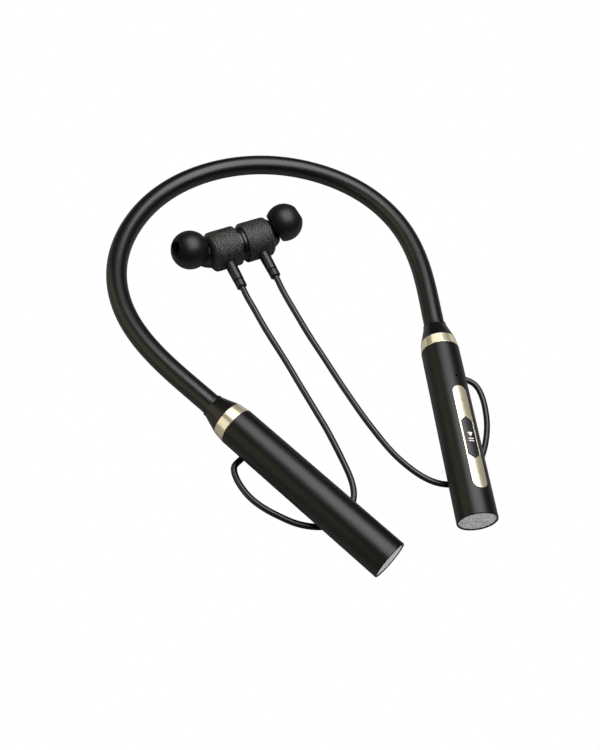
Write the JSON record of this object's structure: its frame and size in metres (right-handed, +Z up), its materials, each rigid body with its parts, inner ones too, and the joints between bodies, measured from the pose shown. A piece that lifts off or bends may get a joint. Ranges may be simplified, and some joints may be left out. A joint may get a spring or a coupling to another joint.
{
  "type": "neckband earphones",
  "caption": "Flexible neckband carrying two slim round pods and a pair of cabled in-ear buds that clip together back to back by magnets.",
  "frame": {"origin": "centre of the neck opening, on the plane of the band's centreline", "axes": "+X to the wearer's left (the pod with the keys), +Y to the nape of the neck (closed end of the band), +Z up when the band lies flat"},
  "size_m": [0.1244, 0.1838, 0.0222],
  "materials": {
    "silicone_sleeve": "satin",
    "spring_wire": "drawn",
    "wire_loom": "matte",
    "pod_plastic": "satin",
    "gold_trim": "brushed champagne gold",
    "cap_plastic": "semi-gloss",
    "silver_plate": "fine crosshatch",
    "gland_rubber": "matte",
    "button_plastic": "semi-gloss",
    "inner_plastic": "moulded",
    "circuit_board": "solder mask",
    "switch_metal": "stamped",
    "screw_steel": "blackened",
    "battery_foil": "foil",
    "cable_jacket": "semi-gloss",
    "bud_texture": "fine grain",
    "bud_plastic": "satin",
    "magnet_steel": "plated",
    "driver_metal": "stamped",
    "nozzle_mesh": "woven",
    "tip_silicone": "matte silicone"
  },
  "bodies": {
    "nape_band": {"sleeve_rear": "silicone_sleeve", "core_wire_rear": "spring_wire", "harness_rear": "wire_loom"},
    "arm_left": {"sleeve_left": "silicone_sleeve", "core_wire_left": "spring_wire", "harness_left": "wire_loom", "collar_left": "pod_plastic", "trim_ring_left": "gold_trim", "pod_shell_left": "pod_plastic", "end_cap_left": "cap_plastic", "end_plate_left": "silver_plate", "cable_gland_left": "gland_rubber", "rocker_saddle": "inner_plastic", "carrier_left": "inner_plastic", "main_board": "circuit_board", "tact_switches": "switch_metal", "microphone": "switch_metal", "mic_gasket": "gland_rubber", "bluetooth_module": "switch_metal", "usb_port": "switch_metal", "board_screws": "screw_steel", "cable_loop_left": "cable_jacket"},
    "arm_right": {"sleeve_right": "silicone_sleeve", "core_wire_right": "spring_wire", "harness_right": "wire_loom", "collar_right": "pod_plastic", "trim_ring_right": "gold_trim", "pod_shell_right": "pod_plastic", "end_cap_right": "cap_plastic", "end_plate_right": "silver_plate", "cable_gland_right": "gland_rubber", "carrier_right": "inner_plastic", "battery_cell": "battery_foil", "protection_board": "circuit_board", "cable_loop_right": "cable_jacket"},
    "volume_rocker": {"volume_rocker": "gold_trim"},
    "call_button": {"call_button": "button_plastic"},
    "cable_base_left": {"cable_base_left": "cable_jacket"},
    "cable_base_right": {"cable_base_right": "cable_jacket"},
    "cable_run_left": {"cable_run_left": "cable_jacket"},
    "cable_run_right": {"cable_run_right": "cable_jacket"},
    "earbud_left": {"barrel_left": "bud_texture", "back_cap_left": "bud_plastic", "magnet_left": "magnet_steel", "driver_left": "driver_metal", "front_cap_left": "bud_plastic", "nozzle_mesh_left": "nozzle_mesh", "stem_left": "bud_plastic", "boot_left": "bud_plastic"},
    "ear_tip_left": {"ear_tip_left": "tip_silicone"},
    "earbud_right": {"barrel_right": "bud_texture", "back_cap_right": "bud_plastic", "magnet_right": "magnet_steel", "driver_right": "driver_metal", "front_cap_right": "bud_plastic", "nozzle_mesh_right": "nozzle_mesh", "stem_right": "bud_plastic", "boot_right": "bud_plastic"},
    "ear_tip_right": {"ear_tip_right": "tip_silicone"}
  },
  "joints": [
    {"name": "arm_left_flex", "type": "hinge", "parent": "nape_band", "child": "arm_left", "pos_m": [0.05178, 0.02791, 0], "axis": [0, 0, 1], "range_deg": [0, 20]},
    {"name": "arm_right_flex", "type": "hinge", "parent": "nape_band", "child": "arm_right", "pos_m": [-0.05178, 0.02791, 0], "axis": [0, 0, -1], "range_deg": [0, 20]},
    {"name": "volume_rock", "type": "hinge", "parent": "arm_left", "child": "volume_rocker", "pos_m": [0.0283, -0.09285, 0.00522], "axis": [0.9122, -0.3479, -0.2165], "range_deg": [-1.5, 1.5]},
    {"name": "call_press", "type": "slide", "parent": "arm_left", "child": "call_button", "axis": [-0.2022, 0.0771, -0.9763], "range_m": [0, 0.0003]},
    {"name": "cable_left_swing", "type": "hinge", "parent": "arm_left", "child": "cable_base_left", "pos_m": [0.0185, -0.1006, -0.00845], "axis": [0, 0, -1], "range_deg": [0, 12]},
    {"name": "cable_right_swing", "type": "hinge", "parent": "arm_right", "child": "cable_base_right", "pos_m": [-0.0151, -0.0939, -0.00825], "axis": [0, 0, 1], "range_deg": [0, 8]},
    {"name": "cable_left_lift", "type": "hinge", "parent": "cable_base_left", "child": "cable_run_left", "pos_m": [0.00395, -0.06, -0.00703], "axis": [1, 0, 0], "range_deg": [0, 60]},
    {"name": "cable_right_lift", "type": "hinge", "parent": "cable_base_right", "child": "cable_run_right", "pos_m": [-0.01042, -0.06, -0.007], "axis": [1, 0, 0], "range_deg": [0, 60]},
    {"name": "earbud_left_swivel", "type": "hinge", "parent": "cable_run_left", "child": "earbud_left", "pos_m": [-0.0001, -0.00254, 0.0003], "axis": [0, 0, -1], "range_deg": [0, 40]},
    {"name": "earbud_right_swivel", "type": "hinge", "parent": "cable_run_right", "child": "earbud_right", "pos_m": [-0.0141, -0.00254, 0.0003], "axis": [0, 0, 1], "range_deg": [0, 40]},
    {"name": "ear_tip_left_pull", "type": "slide", "parent": "earbud_left", "child": "ear_tip_left", "axis": [0.8713, 0, 0.4907], "range_m": [0, 0.009]},
    {"name": "ear_tip_right_pull", "type": "slide", "parent": "earbud_right", "child": "ear_tip_right", "axis": [-0.8713, 0, 0.4907], "range_m": [0, 0.009]}
  ]
}
